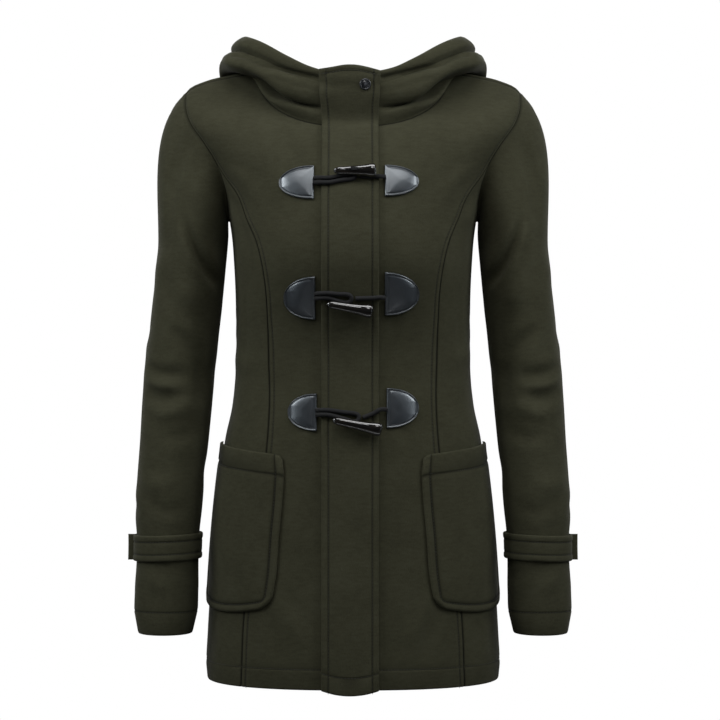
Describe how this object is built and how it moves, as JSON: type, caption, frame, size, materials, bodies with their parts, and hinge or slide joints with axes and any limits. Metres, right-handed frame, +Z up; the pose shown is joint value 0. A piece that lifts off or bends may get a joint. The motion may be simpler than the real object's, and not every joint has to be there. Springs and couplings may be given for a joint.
{
  "type": "hooded toggle coat",
  "caption": "Dark olive hooded toggle coat, filled out as if worn by nobody, with a front placket, horn toggles on cord loops, leather patches, patch pockets and cuff straps.",
  "frame": {"origin": "midway between the tops of the shoulders, at the base of the neck, where the coat sits on the wearer", "axes": "+Z up towards the wearer's head, the front towards -Y, the wearer's left towards +X"},
  "size_m": [0.5442, 0.3092, 0.7865],
  "materials": {
    "cloth": "matte dark olive wool-like coat cloth with a short nap",
    "patch_leather": "smooth glossy black imitation leather",
    "toggle_horn": "polished dark horn-like plastic",
    "cord": "matte black round braided cord",
    "snap_cap": "black enamelled press stud cap"
  },
  "bodies": {
    "root": {"back": "cloth", "front_left": "cloth", "front_right": "cloth", "side_front_left": "cloth", "side_front_right": "cloth", "sleeve_left": "cloth", "sleeve_right": "cloth", "hood_left": "cloth", "hood_right": "cloth", "placket": "cloth", "pocket_left": "cloth", "pocket_right": "cloth", "cuff_strap_left": "cloth", "cuff_strap_right": "cloth", "patch_right_1": "patch_leather", "patch_left_1": "patch_leather", "toggle_1": "toggle_horn", "loop_cord_1": "cord", "anchor_cord_1": "cord", "patch_right_2": "patch_leather", "patch_left_2": "patch_leather", "toggle_2": "toggle_horn", "loop_cord_2": "cord", "anchor_cord_2": "cord", "patch_right_3": "patch_leather", "patch_left_3": "patch_leather", "toggle_3": "toggle_horn", "loop_cord_3": "cord", "anchor_cord_3": "cord", "snap": "snap_cap", "lashing": "cord"}
  },
  "joints": []
}
